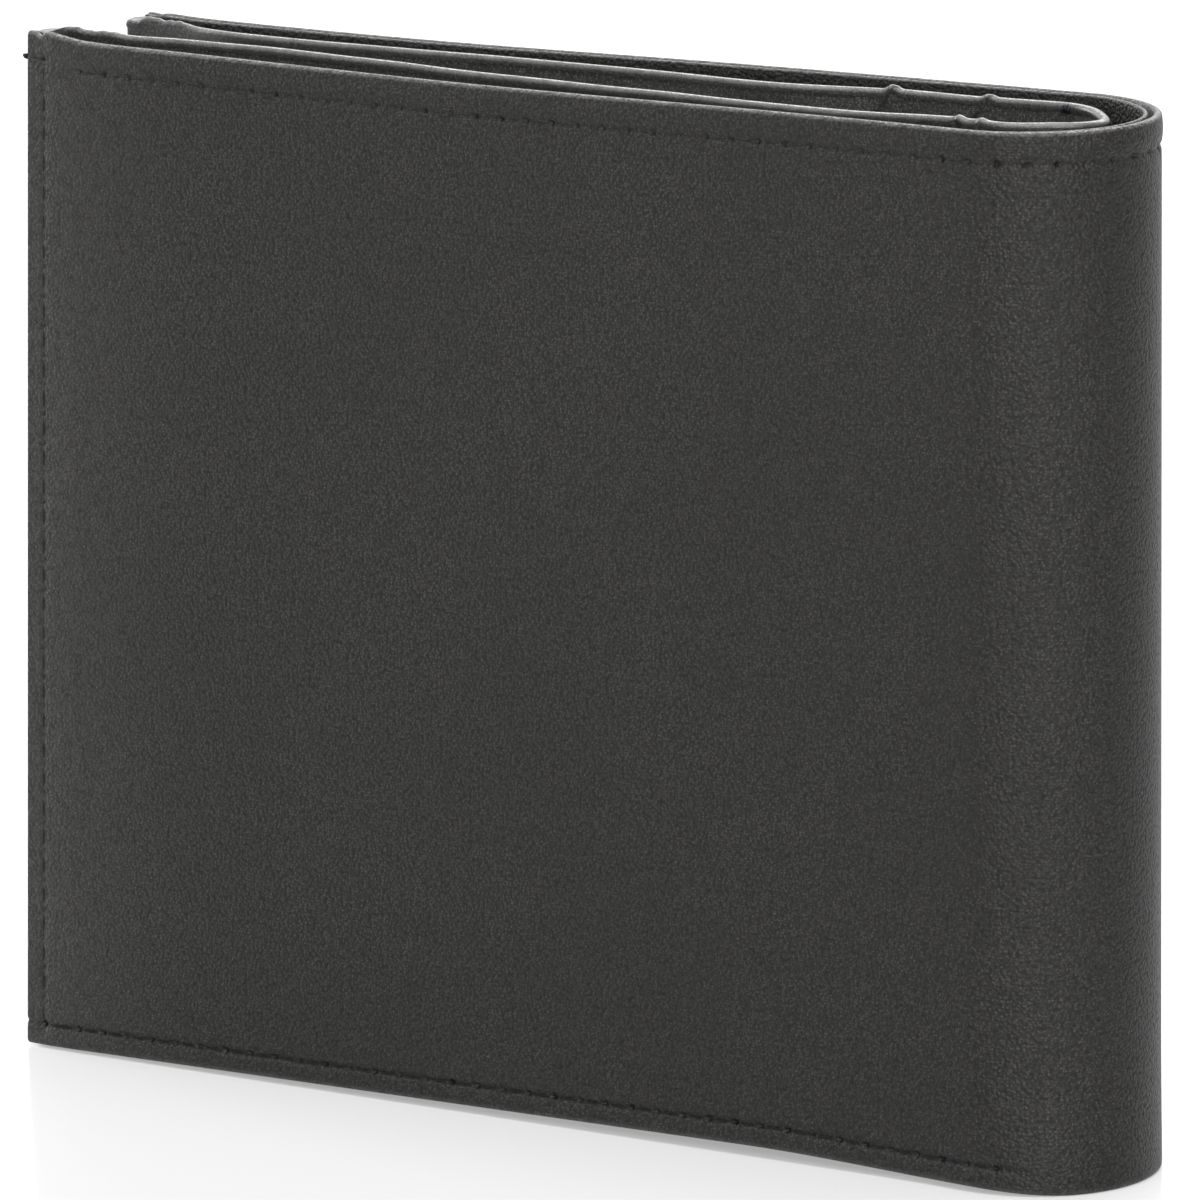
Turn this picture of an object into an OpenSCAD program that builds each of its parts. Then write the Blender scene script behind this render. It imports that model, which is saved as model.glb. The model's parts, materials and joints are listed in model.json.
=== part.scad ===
// Bifold wallet, closed and standing on its long bottom edge.
// +X runs from the open edges to the spine, -Y is the front cover's side, +Z is up.
// The origin is at the middle of the closed wallet's footprint.
// Each leaf is a bank of card pockets sewn to a divider, and the divider is sewn to the cover
// along the open edge and the bottom, so a compartment for banknotes is left between them.
// It runs round the spine from leaf to leaf and is open at the top.
// The spine bends, so it is cut into strips that hinge on the cover's outer surface.

/* [Wallet] */
// Height of the covers
height = 90; // [80:1:100]
// Length of a leaf, from its open edge to where the spine's bend starts
leaf_len = 96; // [92:1:105]
// Outer radius of the spine's bend
spine_r = 11.05; // [11.05:0.05:12]
// How much nearer the middle each cover is at its open edge than at the spine
taper = 2.5; // [2.3:0.1:2.5]
// Corner radius at the covers' open edges
corner_r = 1.5; // [0.5:0.25:3]
// Gap left between the two banks of pockets
closed_gap = 0.3; // [0.3:0.05:0.4]

/* [Leather and lining] */
// Thickness of the cover leather
cover_t = 0.7; // [0.6:0.05:0.7]
// Thickness of the cover's lining, and of the hem turned in along its top
lining_t = 0.3; // [0.2:0.05:0.3]
// Depth of the hem turned in along the top edge
hem_h = 8; // [5:0.5:12]
// Thickness of the divider leather
divider_t = 0.5; // [0.4:0.05:0.5]
// How far the divider's top edge stays below the cover's
divider_drop = 0.5; // [0.2:0.1:4]
// Thickness of the divider's walls where they turn out to meet the cover
wall_t = 0.8; // [0.6:0.1:1]
// Outer radius of the divider's bend round the spine
divider_r = 5.5; // [5:0.1:5.5]
// Length over which the divider flares out towards the spine
flare_len = 10; // [8:1:14]

/* [Card pockets] */
// Thickness of the slip pocket behind the card slots
slip_t = 0.4; // [0.3:0.05:0.4]
// Thickness of one card slot's layer
slot_t = 0.7; // [0.5:0.05:0.7]
// Height of the lowest slot's mouth above the bottom
slot_mouth_h = 48; // [40:1:52]
// Step from one slot's mouth to the next
slot_step = 13; // [10:1:13]
// Distance from the pocket bank's inner edge to the start of the bend
pocket_inset = 4.5; // [4:0.25:5]

/* [Stitching] */
// Width of a row of thread
thread_w = 0.6; // [0.4:0.1:0.8]
// Depth that a row of thread sinks into the leather
thread_d = 0.25; // [0.15:0.05:0.3]
// Distance of the hem's row below the top edge
hem_row = 2.7; // [2:0.1:4]
// Distance of the seam's rows from the open edge and the bottom
seam_row = 1.9; // [1.5:0.1:3]

/* [Hidden] */
$fn = 96;
// Number of strips that the bending spine is divided into, and of card slots on each leaf
strips = 4;
slots = 3;

// Angle that each cover leans towards the middle
lean = asin(taper / leaf_len);
// Arc of the bend, and of one strip of it
bend_arc = 180 + 2 * lean;
strip_arc = bend_arc / strips;
// Arc left free between two strips
strip_gap = 0.6;
// X from the bend's centre line to the middle of the closed wallet
left_x = -(leaf_len * cos(lean) + spine_r * sin(lean));
middle_x = (left_x + spine_r) / 2;
// Open edge of the divider and of the pockets, and where the divider stops at the bend
inner_left = left_x + 0.3;
inner_right = -0.4;
// Where the divider starts to flare, and where it has reached the spine's radius
flare_end = -4;
flare_start = flare_end - flare_len;
// Faces of the layers between the middle and the banknote compartment, on the front leaf
pocket_face = -closed_gap / 2;
slip_face = pocket_face - slots * slot_t;
divider_face = slip_face - slip_t;
lining_face = divider_face - divider_t;
bill_face = lining_face - lining_t;
divider_h = height - divider_drop;
// The cover's lining stops this far above the bottom edge, and this far short of the open edge
lining_lift = 0.6;
lining_inset = 0.5;
// Distance from the top of the seam's upright row to the hem's row
row_gap = 1.2;
// How far the mouth of a pocket layer is from the ends of its rows of stitches
mouth_gap = 1;
// Step in the height of the bottom edges from one pocket layer to the next
bottom_step = 0.1;
leather = [0.16, 0.16, 0.17];
cloth = [0.25, 0.25, 0.27];
thread = [0.08, 0.08, 0.09];

// Y of the cover lining's inner face on the front leaf, at a given X
function cover_inside(x) = -(spine_r - cover_t - lining_t) / cos(lean) - x * tan(lean);
// The divider's line seen from above, from the open edge to the spine, at the given Y's
function divider_line(y, y_spine) =
    [[inner_left, y], [flare_start, y], [flare_end, y_spine], [inner_right, y_spine]];
function backwards(list) = [for (k = [len(list) - 1:-1:0]) list[k]];
// Direction of the boundary after strip k, with 0 where the front leaf ends
function boundary(k) = -90 - lean + k * strip_arc;
// Length left free between the end of a leaf's cover and the boundary of the first strip
function spine_gap() = spine_r * tan(strip_gap / 2);

// Moves a shape drawn round the bend's centre line to the wallet's own frame
module placed() translate([-middle_x, 0, 0]) children();

// A front piece as it is drawn, or the rear one as its mirror image
module leaf(side) placed() mirror([0, side == "rear" ? 1 : 0, 0]) children();

// Frame of the front cover: X along it and 0 at the bend, Y inwards from its outer face
module on_cover() rotate([0, 0, -lean]) translate([0, -spine_r, 0]) children();

// A sheet standing in the XZ plane, between two X's, two Z's and two Y's
module sheet(x, z, y) translate([x[0], y[0], z[0]]) cube([x[1] - x[0], y[1] - y[0], z[1] - z[0]]);

// Outline of a cover: square at the bend and rounded at the open edge
module cover_outline(inset, right) {
    r = corner_r;
    left = -leaf_len + inset;
    polygon([[left + r, inset], [right, inset], [right, height - inset], [left + r, height - inset]]);
    polygon([[left, inset + r], [left + r, inset + r], [left + r, height - inset - r],
        [left, height - inset - r]]);
    translate([left + r, inset + r]) circle(r);
    translate([left + r, height - inset - r]) circle(r);
}

// Stands an outline drawn in X and Z up as a sheet between two Y's
module standing(y) translate([0, y[1], 0]) rotate([90, 0, 0]) linear_extrude(y[1] - y[0]) children();

// The hem's row on a cover, seen from the front
module hem_row_line() translate([-leaf_len + seam_row, height - hem_row - thread_w / 2])
    square([leaf_len - seam_row, thread_w]);

// The seam's row: down the open edge, round the corner and along the bottom
module seam_row_line() {
    r = corner_r;
    left = -leaf_len + seam_row;
    top = height - hem_row - row_gap;
    translate([left - thread_w / 2, seam_row + r]) square([thread_w, top - seam_row - r]);
    translate([left + r, seam_row - thread_w / 2]) square([-left - r, thread_w]);
    translate([left + r, seam_row + r]) intersection() {
        difference() {
            circle(r + thread_w / 2);
            circle(r - thread_w / 2);
        }
        translate([-2 * r, -2 * r]) square(2 * r);
    }
}

// Cover leather of a leaf, with its top edge turned in as a hem
module cover(side) color(leather) leaf(side) on_cover() difference() {
    union() {
        standing([0, cover_t]) cover_outline(0, 0);
        standing([cover_t, cover_t + lining_t]) intersection() {
            cover_outline(0, 0);
            translate([-leaf_len, height - hem_h]) square([leaf_len, hem_h]);
        }
    }
    standing([-1, thread_d]) hem_row_line();
    standing([-1, thread_d]) seam_row_line();
    past_end();
}

// Room beyond the end that meets the spine's first strip, taken off the cover and its threads
module past_end() translate([-spine_gap(), -1, -1]) cube([1, 4, height + 2]);

// Lining of a cover, from near the bottom to the hem
module cover_lining(side) color(cloth) leaf(side) on_cover()
    sheet([-leaf_len + lining_inset, -spine_gap()], [lining_lift, height - hem_h],
        [cover_t, cover_t + lining_t]);

// Thread of the hem and of the seam, lying in its channel in the cover
module hem_thread(side) color(thread) leaf(side) on_cover() difference() {
    standing([0, thread_d]) hem_row_line();
    past_end();
}
module seam_thread(side) color(thread) leaf(side) on_cover() difference() {
    standing([0, thread_d]) seam_row_line();
    past_end();
}

// Divider leather: the compartment's inner wall, with an end wall and a floor out to the cover
module divider(side) color(leather) leaf(side) {
    difference() {
        linear_extrude(divider_h) polygon(concat(divider_line(lining_face, lining_t - divider_r),
            backwards(divider_line(divider_face, lining_t + divider_t - divider_r))));
        divider_row();
    }
    linear_extrude(divider_h) polygon([[inner_left, lining_face], [inner_left, cover_inside(inner_left)],
        [inner_left + wall_t, cover_inside(inner_left + wall_t)], [inner_left + wall_t, lining_face]]);
    linear_extrude(wall_t) polygon(concat(divider_line(lining_face, lining_t - divider_r),
        [[inner_right, cover_inside(inner_right)], [inner_left, cover_inside(inner_left)]]));
}

// Lining of the divider, on the banknote side
module divider_lining(side) color(cloth) leaf(side) translate([0, 0, wall_t])
    linear_extrude(divider_h - wall_t) difference() {
        polygon(concat(divider_line(bill_face, -divider_r),
            backwards(divider_line(lining_face, lining_t - divider_r))));
        translate([inner_left - 1, bill_face - 1]) square([1 + wall_t, 2]);
    }

// The divider's row of stitches below its top edge, on the pocket side
module divider_row() sheet([inner_left + seam_row, flare_start],
    [divider_h - hem_row, divider_h - hem_row + thread_w], [divider_face - thread_d, divider_face]);
module divider_thread(side) color(thread) leaf(side) divider_row();

// Height of a pocket layer's mouth: layer 0 is the slip pocket, the last one is the lowest slot
function mouth(k) = slot_mouth_h + (slots - k) * slot_step;
function layer_face(k) = slip_face + k * slot_t;

// Rows of stitches at both ends of a pocket layer, from the mouth of the one in front of it
module pocket_rows(k) {
    low = k == slots ? seam_row : mouth(k + 1) + mouth_gap;
    for (x = [inner_left + seam_row, -pocket_inset - seam_row])
        sheet([x - thread_w / 2, x + thread_w / 2], [low, mouth(k) - mouth_gap],
            [layer_face(k) - thread_d, layer_face(k)]);
}
module pocket_thread(side) color(thread) leaf(side) for (k = [0:slots]) pocket_rows(k);

// A pocket layer: 0 is the slip pocket, 1 and up are the card slots from the back to the front
module pocket_layer(side, k) color(leather) leaf(side) difference() {
    sheet([inner_left, -pocket_inset], [k * bottom_step, mouth(k)],
        [layer_face(k) - (k == 0 ? slip_t : slot_t), layer_face(k)]);
    pocket_rows(k);
}

// Turns a section drawn at its real radius through strip k of the spine
module strip(k) placed() rotate([0, 0, boundary(k - 1) + strip_gap / 2])
    rotate_extrude(angle = strip_arc - strip_gap) children();

module strip_cover(k) color(leather) difference() {
    strip(k) {
        translate([spine_r - cover_t, 0]) square([cover_t, height]);
        translate([spine_r - cover_t - lining_t, height - hem_h]) square([lining_t, hem_h]);
    }
    strip(k) translate([spine_r - thread_d, height - hem_row - thread_w / 2]) square([1, thread_w]);
}
module strip_lining(k) color(cloth) strip(k)
    translate([spine_r - cover_t - lining_t, lining_lift]) square([lining_t, height - hem_h - lining_lift]);
module strip_divider(k) color(leather) strip(k)
    translate([divider_r - lining_t - divider_t, 0]) square([lining_t + divider_t, divider_h]);
module strip_thread(k) color(thread) strip(k)
    translate([spine_r - thread_d, height - hem_row - thread_w / 2]) square([thread_d, thread_w]);

for (side = ["front", "rear"]) {
    cover(side);
    cover_lining(side);
    divider(side);
    divider_lining(side);
    pocket_layer(side, 0);
    hem_thread(side);
    seam_thread(side);
    divider_thread(side);
    pocket_thread(side);
    for (k = [1:slots])
        pocket_layer(side, k);
}
for (k = [1:strips]) {
    strip_cover(k);
    strip_lining(k);
    strip_divider(k);
    strip_thread(k);
}
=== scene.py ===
"""Bifold wallet, closed and standing on its long bottom edge.

Every layer follows the cover's outer face. A place on the wallet is given by s, the distance
along that face from the middle of the spine (negative on the front leaf, positive on the rear
one), the depth inwards from it, and the height z. All sizes are in metres.
"""
import json
import math

import bpy
import numpy as np
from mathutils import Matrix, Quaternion, Vector


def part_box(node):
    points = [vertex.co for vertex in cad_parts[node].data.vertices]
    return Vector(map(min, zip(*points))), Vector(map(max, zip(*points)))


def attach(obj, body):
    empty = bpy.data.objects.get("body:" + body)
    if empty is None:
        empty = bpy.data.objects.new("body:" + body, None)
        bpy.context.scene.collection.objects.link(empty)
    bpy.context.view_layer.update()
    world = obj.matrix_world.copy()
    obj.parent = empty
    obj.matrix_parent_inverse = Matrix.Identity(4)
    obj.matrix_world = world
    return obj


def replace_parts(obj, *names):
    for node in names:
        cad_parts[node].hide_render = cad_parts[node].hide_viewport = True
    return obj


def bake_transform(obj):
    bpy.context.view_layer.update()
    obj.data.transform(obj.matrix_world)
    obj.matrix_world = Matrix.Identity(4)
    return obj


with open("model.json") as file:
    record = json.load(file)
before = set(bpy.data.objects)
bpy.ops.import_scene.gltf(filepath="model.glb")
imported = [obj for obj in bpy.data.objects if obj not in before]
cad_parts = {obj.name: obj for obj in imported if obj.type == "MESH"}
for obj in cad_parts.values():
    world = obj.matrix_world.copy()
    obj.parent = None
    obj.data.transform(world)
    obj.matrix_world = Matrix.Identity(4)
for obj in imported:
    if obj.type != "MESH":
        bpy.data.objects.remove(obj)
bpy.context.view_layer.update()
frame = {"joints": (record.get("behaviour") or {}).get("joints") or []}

MM = 0.001
rng = np.random.default_rng(7)

# ---- sizes that the frame gives
joints = {joint["name"]: joint for joint in frame["joints"]}
hinges = [Vector(joints[f"fold_{k}"]["pos_m"]) for k in range(1, 6)]
cover_low, cover_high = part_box("front_cover")
bend_r = -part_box("spine_cover_1")[0].y
bend_x = hinges[2].x - bend_r
half_bend = math.atan2(-hinges[0].y, hinges[0].x - bend_x)
lean = half_bend - math.pi / 2
strip_angle = 2 * half_bend / 4
height = cover_high.z
leaf_len = (bend_x - cover_low.x - bend_r * math.sin(lean)) / math.cos(lean)
bend_end = bend_r * half_bend
wallet_end = bend_end + leaf_len
pocket_end = bend_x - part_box("front_slip_pocket")[1].x

# ---- sizes of the layers
COVER_T = 0.72 * MM
# Thickness and height of the hem turned in along the cover's top
HEM_T = 0.42 * MM
HEM_H = 8 * MM
LINING_T = 0.22 * MM
DIVIDER_T = 0.5 * MM
SLIP_T = 0.4 * MM
SLOT_T = 0.7 * MM
# Gap between two layers that lie on each other, and between a lining and its leather
LAYER_GAP = 0.02 * MM
LINING_GAP = 0.01 * MM
# Half of the gap between the two banks of pockets
BANK_GAP = 0.15 * MM
# Heights of the pocket layers' mouths
pocket_kinds = ["slip_pocket", "card_slot_1", "card_slot_2", "card_slot_3"]
mouths = [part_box(f"front_{kind}")[1].z for kind in pocket_kinds]
# Distance of the pockets and their rows of stitches from the leaf's open edge
POCKET_EDGE = 0.3 * MM

# ---- stitching
PITCH = 2.6 * MM
# Distance of the hem's row below the top edge, and of the seam's rows from the other edges
HEM_ROW = 2.7 * MM
SEAM_ROW = 1.9 * MM
# Radii of the thread in the cover, in the pockets and in the divider
THREAD_R = 0.12 * MM
POCKET_THREAD_R = 0.15 * MM
DIVIDER_THREAD_R = 0.13 * MM
# The bottom row stops just on the bend
STITCHES_END = bend_end - 3.5 * MM

# Distance past the bend at which the leaves' pieces are cut off
LEAF_CUT = 4 * MM


def smooth(x, low=0.0, high=1.0):
    """0 below low, 1 above high and an even curve between them."""
    t = np.clip((np.asarray(x, float) - low) / (high - low), 0, 1)
    return t * t * (3 - 2 * t)


def bell(x, width):
    return np.exp(-(np.asarray(x, float) / width) ** 2)


def hump(x, size, middle, width):
    """A rise of that size with its middle there."""
    return size * bell(x - middle, width)


def from_bend(s):
    """Distance along the leaf from where the bend ends, 0 on the bend."""
    return np.maximum(np.abs(s) - bend_end, 0)


def from_edge(s):
    """Distance from the leaf's open edge."""
    return wallet_end - np.abs(s)


# ---- how the real wallet sits
# The spine rests on the floor, and the leaves' bottom edges rise towards it
LIFT_LOW = 0.92 * MM
END_LIFT = 0.18 * MM
# The bend's own share of that rise, and the length of leaf over which the rest comes
BEND_LIFT = 0.4
LIFT_RUN = 22 * MM
# The top edges rise towards the spine, dip along the leaf and rise again at the corner
LIFT_HIGH = 0.42 * MM
TOP_DIP = 0.32 * MM
# Place of the dip on the front and the rear leaf, and its width, as shares of the leaf's length
DIP_AT = (0.52, 0.7)
DIP_WIDTH = 0.27
# Rise of the front leaf's top corner, its width, and the rear one's share of it
CORNER_RISE = 0.55 * MM
CORNER_WIDTH = 4.5 * MM
REAR_CORNER = 0.35
# The leaves' lengths differ a little, and their open edges splay towards the bottom
FRONT_LONGER = 0.35 * MM
REAR_SHORTER = 1.4 * MM
SPLAY = 1.7 * MM
# How far the leaves bulge outwards, and the spine towards the bottom
CROWN = 0.3 * MM
SPINE_BULGE = 0.14 * MM
# The seam pinches the open edges together over this length
PINCH = 0.3 * MM
PINCH_WIDTH = 2.4 * MM
# The foot of the bend's front half flares outwards
FLARE = 1.1 * MM
FLARE_H = 6 * MM


def place(s, depth, z):
    """Points in the row frame for places on the wallet, given as arrays of one shape."""
    s, depth, z = np.broadcast_arrays(s, depth, z)
    turn = np.minimum(np.abs(s) / bend_r, half_bend)
    along = from_bend(s)
    run_on = np.where(s < 0, FRONT_LONGER, -REAR_SHORTER) * along / leaf_len
    run_on = run_on + SPLAY * (1 - np.clip(z / height, 0, 1)) * smooth(along, 0, leaf_len)
    along = along + run_on
    x = (bend_r - depth) * np.cos(turn) - along * np.sin(turn) + bend_x
    x = x + SPINE_BULGE * (1 - np.clip(z / height, 0, 1))
    y = (bend_r - depth) * np.sin(turn) + along * np.cos(turn)
    return np.stack([x, np.where(s < 0, -y, y), z], axis=-1)


def on_side(s, front, rear):
    """The first value on the front half of the wallet, and the second on the rear half."""
    return np.where(np.asarray(s) < 0, front, rear)


def lift_low(s):
    """Rise of the bottom edge."""
    along = from_bend(s)
    leaf = END_LIFT + LIFT_LOW * (1 - along / leaf_len)
    on_bend = BEND_LIFT * smooth(np.abs(s), 0.45 * bend_end, bend_end)
    return leaf * (on_bend + (1 - BEND_LIFT) * smooth(along, 0, LIFT_RUN))


def lift_high(s):
    """Rise of the top edge."""
    across = from_bend(s) / leaf_len
    dip = hump(across, TOP_DIP, on_side(s, *DIP_AT), DIP_WIDTH)
    corner = CORNER_RISE * bell(from_edge(s), CORNER_WIDTH) * on_side(s, 1, REAR_CORNER)
    return END_LIFT + LIFT_HIGH * (1 - across) - dip + corner


def lifted(s, z):
    return z + lift_low(s) + (lift_high(s) - lift_low(s)) * np.clip(z / height, 0, 1)


def sway(s, z):
    """Inward shift that all layers of a place share: a crowned leaf, pinched at its open edge."""
    across = np.clip(from_bend(s) / leaf_len, 0, 1)
    crown = -CROWN * np.sin(math.pi * across) * np.sin(math.pi * np.clip(z / height, 0, 1))
    flare = -FLARE * bell(z, FLARE_H) * bell(s + 0.5 * bend_end, 0.5 * bend_end)
    return crown + PINCH * bell(from_edge(s), PINCH_WIDTH) + flare


# ---- meshes
# Columns nearer than this are merged
NEAREST = 0.028 * MM
# Columns that lie on a cut belong to both sides of it
ON_CUT = 0.0001 * MM


def spaced(low, high, step):
    return np.linspace(low, high, max(2, round((high - low) / step) + 1))


def merged(*values, gap=0.02 * MM):
    """Sorted values, without those that follow another by less than the gap."""
    kept = []
    for value in np.sort(np.concatenate([np.atleast_1d(v) for v in values])):
        if not kept or value - kept[-1] > gap:
            kept.append(float(value))
    return np.array(kept)


def lengths(points):
    """Distance along a line of points, from its first one."""
    return np.concatenate([[0], np.cumsum(np.linalg.norm(np.diff(points, axis=0), axis=1))])


def new_object(name, data):
    made = bpy.data.objects.new(name, data)
    bpy.context.scene.collection.objects.link(made)
    return made


def finish_piece(name, vertices, faces, uv, material, wear_and_highlight=None):
    mesh = bpy.data.meshes.new(name)
    mesh.from_pydata(vertices.tolist(), [], faces)
    layer = mesh.uv_layers.new(name="grain")
    layer.data.foreach_set("uv", np.asarray(uv, np.float32).ravel())
    mesh.polygons.foreach_set("use_smooth", [True] * len(mesh.polygons))
    if wear_and_highlight is not None:
        attribute = mesh.attributes.new("wear_and_highlight", "FLOAT", "POINT")
        attribute.data.foreach_set("value", np.asarray(wear_and_highlight, np.float32).ravel())
    mesh.materials.append(material)
    mesh.update()
    piece = new_object(name, mesh)
    return piece


def swept(name, points, wear_and_highlight, u, v, material):
    """A closed piece from columns of points. Each column is a closed section."""
    columns, rows = points.shape[:2]
    i, j = np.meshgrid(np.arange(columns - 1), np.arange(rows), indexing="ij")
    nxt = (j + 1) % rows
    quads = np.stack([i * rows + j, (i + 1) * rows + j, (i + 1) * rows + nxt, i * rows + nxt], -1)
    uv = np.stack([
        np.stack([u[i], v[j]], -1),
        np.stack([u[i + 1], v[j]], -1),
        np.stack([u[i + 1], v[j + 1]], -1),
        np.stack([u[i], v[j + 1]], -1),
    ], axis=2).reshape(-1, 2)
    faces = quads.reshape(-1, 4).tolist()
    count = columns * rows
    # the ends have vertices of their own, so that the shading round them stays smooth
    faces.append(list(range(count, count + rows)))
    faces.append(list(range(count + 2 * rows - 1, count + rows - 1, -1)))
    vertices = np.concatenate([points.reshape(-1, 3), points[0], points[-1]])
    wear_and_highlight = np.concatenate([wear_and_highlight.reshape(-1), wear_and_highlight[0], wear_and_highlight[-1]])
    ends = np.concatenate([
        np.stack([np.full(rows, u[0]), v[:rows]], -1),
        np.stack([np.full(rows, u[-1]), v[:rows][::-1]], -1),
    ])
    return finish_piece(name, vertices, faces, np.concatenate([uv, ends]), material, wear_and_highlight)


def swept_layer(s, points, wear_and_highlight):
    """Adds the lengths along and round a layer, which the grain's coordinates use."""
    middle = points.shape[1] // 4
    u = lengths(points[:, middle])
    u = u - u[len(u) // 2]
    ring = points[len(s) // 3]
    v = lengths(np.concatenate([ring, ring[:1]]))
    wear_and_highlight = np.broadcast_to(wear_and_highlight, points.shape[:2])
    return {"s": s, "points": points, "wear_and_highlight": wear_and_highlight, "u": u, "v": v}


def cut(layer, name, low, high, material):
    keep = (layer["s"] > low - ON_CUT) & (layer["s"] < high + ON_CUT)
    return swept(name, layer["points"][keep], layer["wear_and_highlight"][keep], layer["u"][keep], layer["v"],
                 material)


# Cuts in the layers round the spine: past both ends of the bend, and halfway between hinges
leaf_cut = bend_end + LEAF_CUT
fold_cuts = [-leaf_cut]
fold_cuts += [bend_r * (-half_bend + (k + 0.5) * strip_angle) for k in range(4)]
fold_cuts += [leaf_cut]


def bend_over(piece):
    """Bakes a piece's transform into its mesh, without bending it."""
    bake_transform(piece)


# The leaves' CAD nodes that go with those of the spine
LEAF_NODES = {"cover": "cover", "divider": "divider", "lining": "cover_lining"}


# The leaves' ends
LEAVES = (("front", -wallet_end, -leaf_cut), ("rear", leaf_cut, wallet_end))


def wrap(layer, kind, material, node):
    """Cuts a layer round the wallet into leaves and folds, in place of a CAD node's parts."""
    made = []
    for side, low, high in LEAVES:
        piece = cut(layer, f"{side}_{kind}", low, high, material)
        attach(piece, f"{side}_leaf")
        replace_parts(piece, f"{side}_{LEAF_NODES[node]}")
        made.append(piece)
    for k in range(1, 6):
        piece = cut(layer, f"{kind}_fold_{k}", fold_cuts[k - 1], fold_cuts[k], material)
        bend_over(piece)
        if k < 5:
            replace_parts(piece, f"spine_{node}_{k}")
        made.append(piece)
    return made


# ---- materials
class Nodes:
    """A material's node tree, with short calls that add nodes and link them."""

    def __init__(self, name):
        self.material = bpy.data.materials.new(name)
        self.material.use_nodes = True
        self.tree = self.material.node_tree
        self.tree.nodes.clear()
        self.shader = self.add("ShaderNodeBsdfPrincipled")
        output = self.add("ShaderNodeOutputMaterial")
        self.link(self.shader.outputs[0], output.inputs["Surface"])

    def add(self, kind, **settings):
        node = self.tree.nodes.new(kind)
        for key, value in settings.items():
            setattr(node, key, value)
        return node

    def link(self, source, target):
        if isinstance(source, (int, float)):
            target.default_value = source
        else:
            self.tree.links.new(source, target)

    def set(self, name, value):
        """Sets an input of the shader to a number or to a node's output."""
        self.link(value, self.shader.inputs[name])

    def math(self, operation, a, b=0.0, c=0.0):
        node = self.add("ShaderNodeMath", operation=operation)
        for socket, value in zip(node.inputs, (a, b, c)):
            self.link(value, socket)
        return node.outputs[0]

    def surface(self, stretch=(1, 1, 1)):
        """Coordinates along the piece's own surface, in metres times stretch."""
        uv = self.add("ShaderNodeUVMap", uv_map="grain")
        mapping = self.add("ShaderNodeMapping")
        mapping.inputs["Scale"].default_value = stretch
        self.link(uv.outputs[0], mapping.inputs["Vector"])
        return mapping.outputs[0]

    def noise(self, vector, scale, detail=2.0, roughness=0.5):
        node = self.add("ShaderNodeTexNoise", noise_dimensions="2D")
        node.inputs["Scale"].default_value = scale
        node.inputs["Detail"].default_value = detail
        node.inputs["Roughness"].default_value = roughness
        self.link(vector, node.inputs["Vector"])
        return node.outputs["Fac"]

    def cells(self, vector, scale, feature):
        node = self.add("ShaderNodeTexVoronoi", voronoi_dimensions="2D", feature=feature)
        node.inputs["Scale"].default_value = scale
        self.link(vector, node.inputs["Vector"])
        return node.outputs["Distance"], node.outputs["Color"]

    def ramp(self, value, stops):
        """A ramp through (position, colour or grey level) stops."""
        node = self.add("ShaderNodeValToRGB")
        ends = node.color_ramp.elements
        while len(ends) < len(stops):
            ends.new(0.5)
        for element, (position, level) in zip(ends, stops):
            element.position = position
            colour = level if hasattr(level, "__len__") else (level,) * 3
            element.color = (*colour, 1)
        self.link(value, node.inputs["Fac"])
        return node.outputs["Color"]

    def mix(self, factor, a, b):
        node = self.add("ShaderNodeMix", data_type="RGBA")
        self.link(factor, node.inputs[0])
        for value, socket in ((a, node.inputs[6]), (b, node.inputs[7])):
            if hasattr(value, "__len__"):
                socket.default_value = (*value, 1)
            else:
                self.link(value, socket)
        return node.outputs[2]

    def bump(self, height_value, distance):
        node = self.add("ShaderNodeBump")
        node.inputs["Distance"].default_value = distance
        self.link(height_value, node.inputs["Height"])
        return node.outputs["Normal"]


def times(colour, factor):
    return tuple(factor * c for c in colour)


# Tones of the pebbles' tops (a painted highlight), of their gaps (painted shade) and of the
# painted glints, as shares of a leather's colour
PEBBLE_TOP_HIGHLIGHT = 1.5
PEBBLE_GAP_SHADE = 0.4
GLINT_TONE = 4.8
# Patches with more or fewer painted glints, and breaks in the edges' wear and painted highlight,
# to the metre
PATCHES = 45
BREAKS = 900


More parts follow.
